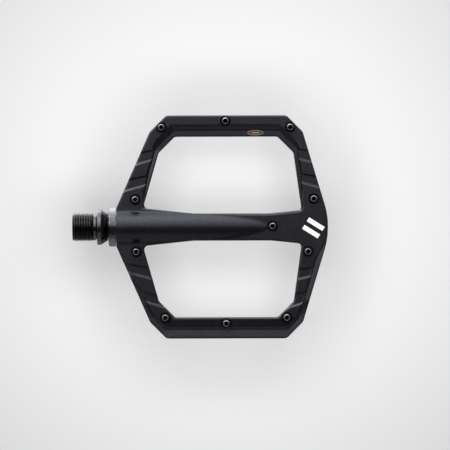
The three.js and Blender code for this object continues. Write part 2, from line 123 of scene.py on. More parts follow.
# The outboard rear strip lies this much higher than the others, away from its corner
OUTBOARD_LIFT = 0.62
LIFT_EASE = (-44, 9)
# Depth of the recesses, the run of their front and rear side, and how far they reach along X and Y
RECESS_DEPTH = 0.8
RECESS_RUNS = (0.6, 0.92)
RECESS_ROUNDING = 0.15
RECESS_END_X = (-12.0, 38.0)
RECESS_EASE = (43.2, 1.6)
# Slopes beside the strips: half-width of their rounding, and their run
STRIP_ROUNDING = 0.35
BAR_ROUNDING = 0.55
LIFTED_ROUNDING = 0.14
LIFTED_RUN = 0.3
BAR_RUN = 2.0
REAR_BAR_RUN = 1.2
WEDGE_RUN = (0.4, 1.05)
WEDGE_LENGTH = 10.0

# Axle tube: highest line and half-width where it meets the land, both fading to nothing along the spar
TUBE_START = -37.0
TUBE_LENGTH = 71.0
TUBE_HUB_RADIUS = 9.6
TUBE_BLEND = 0.4
TUBE_FALL = 1.3
TUBE_NARROWING = 1.8

# Printed stripes: middle, turn about Z, half length, half width, distance from the middle line, soft edge
STRIPES_AT = (56.6, -0.6, 5.5)
STRIPES_DEG = 32.0
STRIPE_HALF = (4.5, 1.1)
STRIPE_OFFSET = 2.2
STRIPE_SOFT = 0.1

# Rounding of the rims: in general, beside the hub, on the strips and beside the spar
EDGE_RADIUS = 0.9
HUB_EDGE_RADIUS = 0.45
STRIP_EDGE_RADIUS = 0.6
SPAR_EDGE_RADIUS = 1.5
HUB_CORNER = (8.0, 1.8)
STRIP_EDGE_EASE = 6
SPAR_EASE_X = (10, 15)
SPAR_EASE_Y = (-14, 3)
PIN_HOLE_RADIUS = 2.2
PIN_HOLE_END_Z = 2.0
PIN_HOLE_SIDES = 32
LONGEST_PIN_LOOP = 60
COUNTERSINK = 0.4

# Bore as (x, radius) from the inboard face inwards
BORE = [(CAGE_INBOARD, 7.65), (-29.3, 7.65), (-29.3, 6.1), (8.6, 6.1), (8.6, 5.2), (15.0, 5.2)]
BORE_SIDES = 64
INWARD_X = (-1, 0, 0)

# ---------------- the smaller pieces
KEY_FLATS = 8.0
# Threads as (crest radius, depth, pitch)
CRANK_THREAD = (7.14, 0.82, 1.27)
CRANK_THREAD_END = -53.1
FLANGE_RADIUS = 8.85
NUT_FLATS = 16.9
NUT_TILT_DEG = 2.6
NUT_CROWN = 0.8
NUT_NOTCH = 0.3
NUT_SHOULDER = -42.05
NUT_SLEEVE_END = -30
NUT_HEAD_RADIUS = 9.78
PIN_THREAD_DEPTH = 0.3
PIN_PITCH = 0.7
PIN_SOCKET_FLATS = 2.0
PIN_TURN = 0.7
BADGE_SINK = 0.16

# ---------------- the studio
# The board lies clear of the cage's swing about the spindle
FLOOR_Z = -64.0 * MM
FLOOR_HALF = 8.0
FLOOR_CELLS = 8

# Radiance of the studio's panels against the Y part of a direction, from straight behind to straight in front
PANEL = [
    (-1.0, 0.23), (-0.62, 0.23), (-0.48, 0.02), (0.08, 0.008), (0.3, 0.3),
    (0.5, 0.85), (0.6, 1.55), (0.82, 1.95), (1.0, 1.15),
]
PANEL_MOST = 1.95

# ---------------- fineness of the cage's mesh
LOOP_SPACING = 0.6
LINE_SPACING = 0.6
GRID_SPACING = 0.75
ROUNDING_SHARES = [1 - math.cos(math.radians(a)) for a in (0, 22.5, 45, 67.5, 90)]


# ---------------- plane geometry
def unit(v):
    """Rows of v at length 1."""
    return v / np.maximum(np.linalg.norm(v, axis=-1, keepdims=True), 1e-12)


def ease(value, start, run):
    """A share that goes smoothly from 0 at start to 1 a run further on."""
    u = np.clip((value - start) / run, 0, 1)
    return u * u * (3 - 2 * u)


def filleted_loop(corners, spacing):
    """Evenly spaced points round a closed outline whose corners are rounded by their own radius."""
    count = len(corners)
    arcs = []
    for i, (x, y, radius) in enumerate(corners):
        corner = np.array([x, y])
        before = unit(np.array(corners[i - 1][:2]) - corner)
        after = unit(np.array(corners[(i + 1) % count][:2]) - corner)
        half_angle = math.acos(float(before @ after)) / 2
        cut = radius / math.tan(half_angle)
        middle = corner + unit(before + after) * radius / math.sin(half_angle)
        start, end = corner + before * cut - middle, corner + after * cut - middle
        a0 = math.atan2(start[1], start[0])
        sweep = (math.atan2(end[1], end[0]) - a0 + math.pi) % (2 * math.pi) - math.pi
        steps = max(3, math.ceil(abs(sweep) * radius / min(spacing, 0.12 * radius + 0.15)))
        angles = a0 + sweep * np.linspace(0, 1, steps + 1)
        arcs.append(middle + radius * np.stack([np.cos(angles), np.sin(angles)], 1))
    points = []
    for i, arc in enumerate(arcs):
        following = arcs[(i + 1) % count][0]
        steps = max(1, math.ceil(np.linalg.norm(following - arc[-1]) / spacing))
        points += [arc, arc[-1] + (following - arc[-1]) * np.linspace(0, 1, steps + 1)[1:-1, None]]
    return np.concatenate(points)


def loop_normals(points):
    """Unit normals on the right of a closed loop's direction."""
    onward = unit(np.roll(points, -1, 0) - points)
    along = unit(onward + np.roll(onward, 1, 0))
    return np.stack([along[:, 1], -along[:, 0]], 1)


def inside(points, loop):
    """Which points lie inside a closed loop."""
    x, y = points[:, 0][:, None], points[:, 1][:, None]
    x1, y1 = loop[:, 0], loop[:, 1]
    x2, y2 = np.roll(x1, -1), np.roll(y1, -1)
    crosses = (y1 > y) != (y2 > y)
    with np.errstate(divide="ignore", invalid="ignore"):
        at = x1 + (y - y1) * (x2 - x1) / (y2 - y1)
    return (crosses & (x < at)).sum(1) % 2 == 1


def edge_distances(points, corners):
    """Distance of each point to the left of each edge of an outline, one column per edge."""
    at = np.array([c[:2] for c in corners], float)
    along = unit(np.roll(at, -1, 0) - at)
    left = np.stack([-along[:, 1], along[:, 0]], 1)
    return np.einsum("pek,ek->pe", points[:, None, :] - at[None], left)


def outer_start(x):
    """y where the outside strip starts on each rail."""
    return np.where(x < 0, OUTER_START["inboard"], OUTER_START["outboard"])


class Rim:
    """The boundary loops of the cage's plan, each point with its outward normal and its rounding."""

    def __init__(self):
        cage = filleted_loop(CAGE_OUTLINE, LOOP_SPACING)
        window = filleted_loop(WINDOW_OUTLINE, LOOP_SPACING)
        rear_window = window[::-1] * (1, -1)
        self.loops = [cage, window, rear_window]
        self.normals = [loop_normals(cage), -loop_normals(window), -loop_normals(rear_window)]
        self.radii = [np.full(len(loop), EDGE_RADIUS) for loop in self.loops]
        near_hub = cage[:, 0] < CAGE_INBOARD + 1.5
        share = np.clip((np.abs(cage[:, 1]) - HUB_CORNER[0]) / HUB_CORNER[1], 0, 1)
        self.radii[0][near_hub] = HUB_EDGE_RADIUS + (EDGE_RADIUS - HUB_EDGE_RADIUS) * share[near_hub]
        past_starts = outer_start(cage[:, 0]) - cage[:, 1], window[:, 1] - INNER_TAPER[0]
        for radii, past in zip(self.radii, past_starts):
            radii += (STRIP_EDGE_RADIUS - radii) * ease(past, 0, STRIP_EDGE_EASE)
        share = ease(window[:, 0], *SPAR_EASE_X) * ease(-window[:, 1], *SPAR_EASE_Y)
        self.radii[1] += (SPAR_EDGE_RADIUS - self.radii[1]) * share

    def holds(self, points):
        """Which points lie on the cage's material, in plan."""
        cage, window, rear_window = self.loops
        return inside(points, cage) & ~inside(points, window) & ~inside(points, rear_window)

    def nearest(self, points):
        """Distance in from the nearest rim, that rim's normal and its rounding radius."""
        best = np.full(len(points), 1e9)
        normal = np.zeros((len(points), 2))
        radius = np.full(len(points), EDGE_RADIUS)
        for loop, normals, radii in zip(self.loops, self.normals, self.radii):
            run = np.roll(loop, -1, 0) - loop
            for part in np.array_split(np.arange(len(points)), max(1, len(points) // 2000)):
                offset = points[part][:, None, :] - loop[None]
                t = np.clip((offset * run).sum(2) / (run * run).sum(1), 0, 1)
                gap = np.linalg.norm(offset - t[..., None] * run[None], axis=2)
                row, k = np.arange(len(part)), gap.argmin(1)
                least, share = gap[row, k], t[row, k][:, None]
                closer = least < best[part]
                index, k, share = part[closer], k[closer], share[closer]
                best[index] = least[closer]
                after = (k + 1) % len(loop)
                normal[index] = normals[k] * (1 - share) + normals[after] * share
                radius[index] = radii[k] * (1 - share[:, 0]) + radii[after] * share[:, 0]
        return best, unit(normal), radius


rim = Rim()


# ---------------- the tread surface
def above_zero(u, k):
    """max(u, 0) with its corner rounded over a half-width k."""
    return np.where(u < -k, 0, np.where(u > k, u, (u + k) ** 2 / (4 * k)))


def ramp(s, run, k):
    """0 below s = 0, 1 above s = run, straight between, with rounded corners."""
    return (above_zero(s, k) - above_zero(s - run, k)) / run


def line_through(corner_a, corner_b, y):
    """x where the straight line through two corners crosses y."""
    (x1, y1), (x2, y2) = corner_a[:2], corner_b[:2]
    return x1 + (x2 - x1) * (y - y1) / (y2 - y1)


def recess_sides():
    """Each recess as its two long sides, each side as (y, slope, x) of a straight line at the cage's edge."""
    sides = []
    for recesses, edge, window in (
        (INBOARD_RECESSES, (CAGE_OUTLINE[9], CAGE_OUTLINE[10]), (WINDOW_OUTLINE[7], WINDOW_OUTLINE[0])),
        (OUTBOARD_RECESSES, (CAGE_OUTLINE[6], CAGE_OUTLINE[5]), (WINDOW_OUTLINE[4], WINDOW_OUTLINE[3])),
    ):
        for recess in recesses:
            lines = []
            for outer, inner in recess:
                x_outer = line_through(*edge, abs(outer))
                x_inner = line_through(*window, abs(inner))
                lines.append((outer, (inner - outer) / (x_inner - x_outer), x_outer))
            sides.append((recesses is INBOARD_RECESSES, lines))
    return sides


RECESS_SIDES = recess_sides()


def recess_level(points, inboard, lines):
    """0 on the floor of a recess, 1 outside it, with a slope along each long side."""
    x, y = points.T
    level = np.zeros(len(points))
    for (at, slope, x0), side, run in zip(lines, (1, -1), RECESS_RUNS):
        gap = side * (y - (at + slope * (x - x0))) / math.hypot(1, slope)
        level = np.maximum(level, ramp(gap + run / 2, run, RECESS_ROUNDING))
    level = np.maximum(level, ease(np.abs(y), *RECESS_EASE))
    beyond = x > RECESS_END_X[0] if inboard else x < RECESS_END_X[1]
    return np.where(beyond, 1, level)


def pad_share(points):
    """Position along each raised pad, 0 at its front end and 1 towards its rear end."""
    x, y = points.T
    share = np.full(len(points), 1.0)
    for inboard, lines in RECESS_SIDES:
        lower, slope, lx = lines[1]
        behind = (lower + slope * (x - lx)) - y
        here = ((x < 0) == inboard) & (behind > -0.5) & (behind < WEDGE_LENGTH)
        share = np.where(here, np.clip(behind / WEDGE_LENGTH, 0, 1), share)
    return share


def inner_reach(points):
    """Width of the low strip along each window edge, at each point."""
    y = points[:, 1][:, None]
    share = np.clip((y - INNER_TAPER[0]) / INNER_TAPER[1], 0, 1)
    going = ease(y, *INNER_END)
    full = np.array(INNER_REACH)[None]
    tapered = INNER_LEAST + (full - INNER_LEAST) * share
    return np.where(full < 0, full, tapered * going - INNER_GONE * (1 - going))


def outer_reach(points):
    """Width of the low strip along each outside edge, at each point."""
    full = np.array(OUTER_REACH)[None]
    return np.where(full < 0, full, full * outer_taper(points)[:, None])


def inner_distance(points):
    """Distance out of the low strip round the front window."""
    return (-edge_distances(points, WINDOW_OUTLINE) - inner_reach(points)).max(1)


def outer_taper(points):
    """0 where the rear strip starts on each rail, 1 where it has its full width."""
    x, y = points.T
    return np.clip((outer_start(x) - y) / OUTER_TAPER, 0, 1)


def outer_distance(points):
    """Distance out of the low strip along the rear edge."""
    gap = (edge_distances(points, CAGE_OUTLINE) - outer_reach(points)).min(1)
    return np.where(outer_taper(points) <= 0, NO_STRIP, gap)


def strip_rise(points):
    """Slope of the strips' floor towards their free edge."""
    x, y = points.T
    side = (x > 0).astype(int)
    rail = np.where(y > 0, np.array(FRONT_RAIL_RISE_DEG)[side], np.array(REAR_RAIL_RISE_DEG)[side])
    on_chamfer = ease(np.abs(y), *CHAMFER_EASE)
    on_bar = ease(np.abs(y), *BAR_EASE)
    bar = np.where(y > 0, FRONT_BAR_RISE_DEG, REAR_BAR_RISE_DEG)
    chamfer = np.where(y > 0, *CHAMFER_RISE_DEG)
    rise = rail * (1 - on_chamfer) + chamfer * (on_chamfer - on_bar) + bar * on_bar
    return np.tan(np.radians(rise))


def strip_slopes(points):
    """Run of the slope beside each strip, and half-width of the rounding at its foot and top."""
    x, y = points.T
    lifted = (x > 0) & (y < 0)
    wedge = WEDGE_RUN[0] + (WEDGE_RUN[1] - WEDGE_RUN[0]) * pad_share(points)
    on_bar = ease(np.abs(y), *SLOPE_EASE)
    on_rail = 1 - on_bar
    runs = np.where(lifted, LIFTED_RUN, wedge) * on_rail + np.where(y > 0, BAR_RUN, REAR_BAR_RUN) * on_bar
    rounding = np.where(lifted, LIFTED_ROUNDING, STRIP_ROUNDING) * on_rail
    return runs, rounding + np.where(y > 0, BAR_ROUNDING, STRIP_ROUNDING) * on_bar


def tube_height(points):
    """The axle tube's surface, an arc that flattens along the spar, with its half-width and its blend."""
    x, y = points.T
    s = np.clip((x - TUBE_START) / TUBE_LENGTH, 0, 1)
    rise = (TUBE_HUB_RADIUS - LAND_Z) * (1 - s ** TUBE_FALL) + 0.02
    hub_width = math.sqrt(TUBE_HUB_RADIUS ** 2 - LAND_Z ** 2)
    width = hub_width * np.sqrt(1 - s ** TUBE_NARROWING) + 0.1
    radius = (width ** 2 + rise ** 2) / (2 * rise)
    blend = TUBE_BLEND * np.minimum(1, 4 * (1 - s)) + 0.001
    arc = LAND_Z + rise - radius + np.sqrt(np.maximum(radius ** 2 - y ** 2, 0.01))
    return np.where(np.abs(y) < radius, arc, LOW_Z - 20), width, blend


def tread_height(points, pins):
    """Height of side A's surface over each point of the plan, before its rims are rounded."""
    x, y = points.T
    inner = inner_distance(points)
    outer = outer_distance(points)
    runs, rounding = strip_slopes(points)
    level = np.minimum(ramp(inner, runs, rounding), ramp(outer, runs, rounding))
    lift = np.where((x > 0) & (y < 0), OUTBOARD_LIFT * ease(y, *LIFT_EASE), 0)
    low = LOW_Z + lift + strip_rise(points) * np.clip(-np.minimum(inner, outer), 0, RISE_LENGTH)
    low = np.minimum(low, LAND_Z)
    bar_slope = math.tan(math.radians(BAR_SLOPE_DEG))
    high = LAND_Z - bar_slope * above_zero(-y - BAR_SLOPE_START, 0.3) * ease(-y, *BAR_SLOPE_EASE)
    land = low + (high - low) * level
    depth = RECESS_DEPTH * np.where(lift > 0, level, 1)
    for inboard, lines in RECESS_SIDES:
        land = np.minimum(land, high - depth * (1 - recess_level(points, inboard, lines)))
    tube, _, blend = tube_height(points)
    height = (land + tube + np.sqrt((land - tube) ** 2 + blend ** 2)) / 2
    height = np.where(x > TUBE_START + TUBE_LENGTH, land, height)
    for px, py in pins:
        away = np.hypot(x - px, y - py)
        sink = above_zero(PIN_HOLE_RADIUS + COUNTERSINK - away, 0.08)
        height = height - np.minimum(sink, COUNTERSINK)
    return height


def rounded_height(points, pins, nearest):
    """Height of the tread surface with its rims rounded."""
    depth, _, radius = nearest
    short = np.clip(radius - depth, 0, radius)
    return tread_height(points, pins) - (radius - np.sqrt(radius ** 2 - short ** 2))


def tread_normals(points, pins, nearest):
    """Unit normals of the tread surface; inside a rim's rounding they turn into the rim's own normal."""
    step = 0.02
    dx = tread_height(points + (step, 0), pins) - tread_height(points - (step, 0), pins)
    dy = tread_height(points + (0, step), pins) - tread_height(points - (0, step), pins)
    flat = unit(np.stack([-dx, -dy, np.full(len(points), 2 * step)], 1))
    depth, out, radius = nearest
    turn = np.clip((radius - depth) / radius, 0, 1)[:, None]
    outward = np.concatenate([out, np.zeros((len(out), 1))], 1)
    return unit(flat * np.sqrt(1 - turn ** 2) + outward * turn)


# ---------------- the cage's mesh
class Plan:
    """Points and fixed edges of the cage's plan, gathered for one triangulation."""

    def __init__(self, pins):
        self.pins = pins
        self.points = []
        self.edges = []

    def add(self, points, keep=None, closed=False):
        """Adds a line of points; points that are not kept break it."""
        keep = np.ones(len(points), bool) if keep is None else keep
        index = np.full(len(points), -1)
        for i in np.flatnonzero(keep):
            index[i] = len(self.points)
            self.points.append(tuple(points[i]))
        pairs = zip(range(len(points) if closed else len(points) - 1), np.roll(index, -1))
        self.edges += [(index[i], b) for i, b in pairs if index[i] >= 0 and b >= 0]

    def clear(self, points, margin=1.04, pin_gap=0.95):
        """Which points are on the flat of the cage: clear of every rim's rounding and of every pin."""
        depth, _, radius = rim.nearest(points)
        good = rim.holds(points) & (depth > radius * margin)
        for px, py in self.pins:
            good &= np.hypot(points[:, 0] - px, points[:, 1] - py) > PIN_HOLE_RADIUS + pin_gap
        return good

    def add_line(self, start, end):
        length = np.linalg.norm(np.subtract(end, start))
        share = np.linspace(0, 1, max(2, math.ceil(length / LINE_SPACING)))[:, None]
        points = np.array(start) * (1 - share) + np.array(end) * share
        self.add(points, self.clear(points))


def rim_rings(plan):
    """Rings round every rim, closest where its rounding turns fastest."""
    for loop, normals, radii in zip(rim.loops, rim.normals, rim.radii):
        for share in ROUNDING_SHARES:
            plan.add(loop - normals * (radii * share)[:, None], closed=True)


def strip_lines(plan):
    """The foot and the top of the slope beside every strip."""
    for corners, widths, reach, side in (
        (WINDOW_OUTLINE, INNER_REACH, inner_reach, -1),
        (CAGE_OUTLINE, OUTER_REACH, outer_reach, 1),
    ):
        at = np.array([c[:2] for c in corners], float)
        for i in np.flatnonzero(np.array(widths) > 0):
            start, end = at[i], at[(i + 1) % len(at)]
            along = unit(end - start)
            left = side * np.array([-along[1], along[0]])
            run_out = along * 3
            steps = math.ceil(np.linalg.norm(end - start) / LINE_SPACING)
            points = np.linspace(start - run_out, end + run_out, steps)
            foot = points + left * reach(points)[:, i:i + 1]
            top = foot + left * strip_slopes(foot)[0][:, None]
            for line in (foot, top):
                for shift in (-STRIP_ROUNDING, STRIP_ROUNDING):
                    shifted = line + left * shift
                    plan.add(shifted, plan.clear(shifted))


def recess_lines(plan):
    """Lines along the slope on each long side of every recess."""
    for inboard, lines in RECESS_SIDES:
        for (y, slope, x), run in zip(lines, RECESS_RUNS):
            for offset in (-0.5, -0.2, 0.2, 0.5):
                shift = offset * (run + 2 * RECESS_ROUNDING) * math.hypot(1, slope)
                reach = 26 if inboard else -26
                plan.add_line((x, y + shift), (x + reach, y + shift + slope * reach))


def tube_lines(plan):
    """Lines along both sides of the tube's foot."""
    x = np.arange(CAGE_INBOARD + 1, TUBE_START + TUBE_LENGTH - 1, LINE_SPACING)
    _, width, _ = tube_height(np.stack([x, 0 * x], 1))
    for side in (1, -1):
        for offset in (-0.7, -0.25, 0.2, 0.7):
            points = np.stack([x, side * (width + offset)], 1)
            plan.add(points, plan.clear(points))


def full_turn(count):
    """Evenly spaced angles round a circle."""
    return np.linspace(0, 2 * math.pi, count + 1)[:-1]


def pin_rings(plan):
    """Rings round every pin's hole and its countersink."""
    turn = full_turn(PIN_HOLE_SIDES)
    circle = np.stack([np.cos(turn), np.sin(turn)], 1)
    for px, py in plan.pins:
        for extra in (0, COUNTERSINK / 2, COUNTERSINK - 0.1, COUNTERSINK + 0.1):
            points = circle * (PIN_HOLE_RADIUS + extra) + (px, py)
            depth, _, radius = rim.nearest(points)
            kept = rim.holds(points) & (depth > (0.05 if extra == 0 else 0.15))
            plan.add(points, kept, closed=True)


def grid_points(plan):
    """A grid of single points wherever the plan has none yet."""
    xs = np.arange(CAGE_INBOARD, NOSE_X, GRID_SPACING)
    ys = np.arange(-CAGE_FRONT, CAGE_FRONT, GRID_SPACING)
    x, y = (a.ravel() for a in np.meshgrid(xs, ys))
    points = np.stack([x + (np.round(y / GRID_SPACING) % 2) * GRID_SPACING / 2, y], 1)
    points = points[plan.clear(points, margin=1.4, pin_gap=1.1)]
    placed = np.array(plan.points)
    cell = {}
    for i, (px, py) in enumerate(placed):
        cell.setdefault((math.floor(px), math.floor(py)), []).append(i)
    for x, y in points:
        near = [i for a in (-1, 0, 1) for b in (-1, 0, 1)
                for i in cell.get((math.floor(x) + a, math.floor(y) + b), ())]
        if not near or np.hypot(*(placed[near] - (x, y)).T).min() > 0.35 * GRID_SPACING:
            plan.points.append((x, y))


def triangulated(plan):
    """The plan's triangles, only those on the cage, counter-clockwise."""
    points, _, faces, _, _, _ = delaunay_2d_cdt(
        [Vector(p) for p in plan.points], [(int(a), int(b)) for a, b in plan.edges], [], 0, 1e-5)
    points = np.array([tuple(p) for p in points], float)
    faces = np.array([f for f in faces if len(f) == 3], int)
    middle = points[faces].mean(1)
    good = rim.holds(middle)
    hole_edge = PIN_HOLE_RADIUS * math.cos(math.pi / PIN_HOLE_SIDES)
    for px, py in plan.pins:
        good &= np.hypot(middle[:, 0] - px, middle[:, 1] - py) > hole_edge
    return points, faces[good]


def boundary_loops(faces):
    """Closed loops of directed edges that belong to one triangle only."""
    edges = np.concatenate([faces[:, [0, 1]], faces[:, [1, 2]], faces[:, [2, 0]]])
    known = {(int(a), int(b)) for a, b in edges}
    onward = {a: b for a, b in known if (b, a) not in known}
    loops = []
    while onward:
        start, following = onward.popitem()
        loop = [start]
        while following != start:
            loop.append(following)
            following = onward.pop(following)
        loops.append(loop)
    return loops


class Solid:
    """Vertices and faces, with a normal at every face corner."""

    def __init__(self):
        self.points = []
        self.faces = []
        self.normals = []

    def add_points(self, points):
        first = len(self.points)
        self.points += [tuple(p) for p in points]
        return range(first, len(self.points))

    def add_face(self, corners, normals):
        self.faces.append([int(c) for c in corners])
        self.normals += [tuple(n) for n in normals]

    def mesh(self, name):
        mesh = bpy.data.meshes.new(name)
        mesh.from_pydata([tuple(c * MM for c in p) for p in self.points], [], self.faces)
        mesh.validate(clean_customdata=False)
        mesh.polygons.foreach_set("use_smooth", [True] * len(mesh.polygons))
        if len(self.normals) == len(mesh.loops):
            mesh.normals_split_custom_set(self.normals)
        mesh.update()
        return mesh


def add_tread(solid, points, faces, heights, normals, side):
    """One tread side: side is 1 for side A, and -1 for the same surface turned over about the spindle."""
    turned = np.array([1, side, side])
    vertices = solid.add_points(np.column_stack([points, heights]) * turned)
    first = vertices[0]
    for face in faces:
        solid.add_face(face + first, normals[face] * turned)
    return first


def add_pin_hole(solid, loop, points, first, side):
    """Wall and floor of a pin's hole, from the loop of tread vertices round it."""
    turned = np.array([1, side, side])
    centre = points[loop].mean(0)
    floor = solid.add_points([np.array([*points[i], PIN_HOLE_END_Z]) * turned for i in loop])
    middle = solid.add_points([np.array([*centre, PIN_HOLE_END_Z]) * turned])[0]
    inward = [np.append(unit(centre - points[i]), 0) * turned for i in loop]
    up = np.array([0, 0, side])
    for k in range(len(loop)):
        j = (k + 1) % len(loop)
        a, b = loop[k] + first, loop[j] + first
        solid.add_face([a, floor[k], floor[j], b], [inward[k], inward[k], inward[j], inward[j]])
        solid.add_face([middle, floor[j], floor[k]], [up] * 3)


def add_walls(solid, loop, points, outward, partner, first_a, first_b):
    """Upright walls from side A's rim down to side B's; gives back the edges along the inboard face."""
    hub_edges = []
    for k in range(len(loop)):
        i, j = loop[k], loop[(k + 1) % len(loop)]
        if max(points[i][0], points[j][0]) < CAGE_INBOARD + 1e-3:
            hub_edges.append((i, j))
            continue
        quad = [i + first_a, partner[i] + first_b, partner[j] + first_b, j + first_a]
        out_i, out_j = np.append(outward[i], 0), np.append(outward[j], 0)
        solid.add_face(quad, [out_i, out_i, out_j, out_j])
    return hub_edges


def add_hub_face(solid, hub_edges, partner, first_a, first_b):
    """The flat inboard face with the mouth of the bore, and the stepped bore itself."""
    top = [hub_edges[0][0]] + [b for _, b in hub_edges]
    border = [i + first_a for i in top] + [partner[i] + first_b for i in reversed(top)]
    turn = full_turn(BORE_SIDES)
    rings = []
    for x, radius in BORE:
        ring = [(x, radius * math.cos(a), radius * math.sin(a)) for a in turn]
        rings.append(list(solid.add_points(ring)))
    flat = [Vector(solid.points[i][1:]) for i in border + rings[0]]
    n, m = len(border), BORE_SIDES
    edges = [(i, (i + 1) % n) for i in range(n)] + [(n + i, n + (i + 1) % m) for i in range(m)]
    out, _, faces, origin, _, _ = delaunay_2d_cdt(flat, edges, [], 0, 1e-6)
    index = [(border + rings[0])[o[0]] for o in origin]
    outline = np.array([tuple(flat[i]) for i in range(n)])
    for face in faces:
        middle = np.mean([tuple(out[i]) for i in face], 0)
        if inside(middle[None], outline)[0] and np.hypot(*middle) > BORE[0][1] * math.cos(math.pi / m):
            solid.add_face([index[i] for i in reversed(face)], [INWARD_X] * len(face))
    inward = [(0, -math.cos(a), -math.sin(a)) for a in turn]
    for k, (here, onward) in enumerate(zip(rings, rings[1:])):
        step = BORE[k][0] == BORE[k + 1][0]
        for a in range(m):
            b = (a + 1) % m
            at_a, at_b = (INWARD_X, INWARD_X) if step else (inward[a], inward[b])
            solid.add_face([here[a], onward[a], onward[b], here[b]], [at_a, at_a, at_b, at_b])
    end = solid.add_points([(BORE[-1][0], 0, 0)])[0]
    for a in range(m):
        solid.add_face([rings[-1][a], end, rings[-1][(a + 1) % m]], [INWARD_X] * 3)


def cage_solid(pins):
    """The whole cage: tread surface of each side, walls, hub face, bore and pin holes."""
    plan = Plan(pins)
    for add_to in (rim_rings, strip_lines, recess_lines, tube_lines, pin_rings, grid_points):
        add_to(plan)
    points, faces = triangulated(plan)
    nearest = rim.nearest(points)
    heights = rounded_height(points, pins, nearest)
    normals = tread_normals(points, pins, nearest)
    solid = Solid()
    first = {side: add_tread(solid, points, faces, heights, normals, side) for side in (1, -1)}
    place = {(round(x, 3), round(y, 3)): i for i, (x, y) in enumerate(points)}
    for loop in boundary_loops(faces):
        if len(loop) < LONGEST_PIN_LOOP:
            for side in (1, -1):
                add_pin_hole(solid, loop, points, first[side], side)
            continue
        partner = {}
        for i in loop:
            x, y = points[i]
            near = [place.get((round(x + a, 3), round(-y + b, 3)))
                    for a in (0, -0.001, 0.001) for b in (0, -0.001, 0.001)]
            partner[i] = next(j for j in near if j is not None)
        hub_edges = add_walls(solid, loop, points, nearest[1], partner, first[1], first[-1])
        if hub_edges:
            k = next(i for i, e in enumerate(hub_edges) if e[0] not in {b for _, b in hub_edges})
            ordered = hub_edges[k:] + hub_edges[:k]
            add_hub_face(solid, ordered, partner, first[1], first[-1])
    return solid


# ---------------- turned and lofted pieces
def hexagon_radii(angles, flats, tilt=0.0, crown=0.0, notch=0.0):
    """Radius of a hexagon at each angle; crown bows its sides outwards, notch nicks its corners."""
    within = (angles - tilt) % (math.pi / 3) - math.pi / 6
    bow = crown * (1 - (within / (math.pi / 6)) ** 2)
    nick = notch * np.clip(1 - (math.pi / 6 - np.abs(within)) / math.radians(2.2), 0, 1)
    return (flats / 2) / np.cos(within) + bow - nick


def loft(name, rings, endless=False, sharp_deg=32):
    """A smooth closed mesh through rings of points in millimetres; endless joins the last to the first."""
    rings = [np.asarray(r, float) for r in rings]
    n, count = len(rings[0]), len(rings)
    points = np.concatenate(rings)
    faces = []
    for k in range(count if endless else count - 1):
        here, onward = k * n, (k + 1) % count * n
        faces += [(here + a, here + (a + 1) % n, onward + (a + 1) % n, onward + a) for a in range(n)]
    if not endless:
        first, last, base = len(points), len(points) + 1, (count - 1) * n
        points = np.concatenate([points, rings[0].mean(0)[None], rings[-1].mean(0)[None]])
        faces += [(first, (a + 1) % n, a) for a in range(n)]
        faces += [(last, base + a, base + (a + 1) % n) for a in range(n)]
    mesh = bpy.data.meshes.new(name)
    mesh.from_pydata([tuple(p) for p in points * MM], [], faces)
    mesh.polygons.foreach_set("use_smooth", [True] * len(mesh.polygons))
    mesh.set_sharp_from_angle(angle=math.radians(sharp_deg))
    mesh.update()
    return mesh


def object_from(mesh, name):
    made = bpy.data.objects.new(name, mesh)
    bpy.context.scene.collection.objects.link(made)
    return made


def ring_z(z, radii, angles):
    """A ring round the Z axis."""
    return np.stack([radii * np.cos(angles), radii * np.sin(angles), np.full_like(angles, z)], 1)


def rings_x(rings, angles):
    """Rings round the X axis, from an x and a radius for each."""
    return [np.roll(ring_z(x, radii, angles), 1, 1) for x, radii in rings]


def thread_radii(along, angles, crest, depth, pitch):
    """Radius of a right-hand V thread with flat crests and roots, at a distance along its axis."""
    phase = (along / pitch - angles / (2 * math.pi)) % 1
    vee = np.abs(phase - 0.5) * 2
    return crest - depth * np.clip((vee - 0.14) / 0.68, 0, 1)


def ends_m(node):
    """Lowest and highest corner of a CAD node's box, in metres."""
    low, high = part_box(node)
    return np.array(low), np.array(high)


def ends_mm(node):
    low, high = ends_m(node)
    return low / MM, high / MM


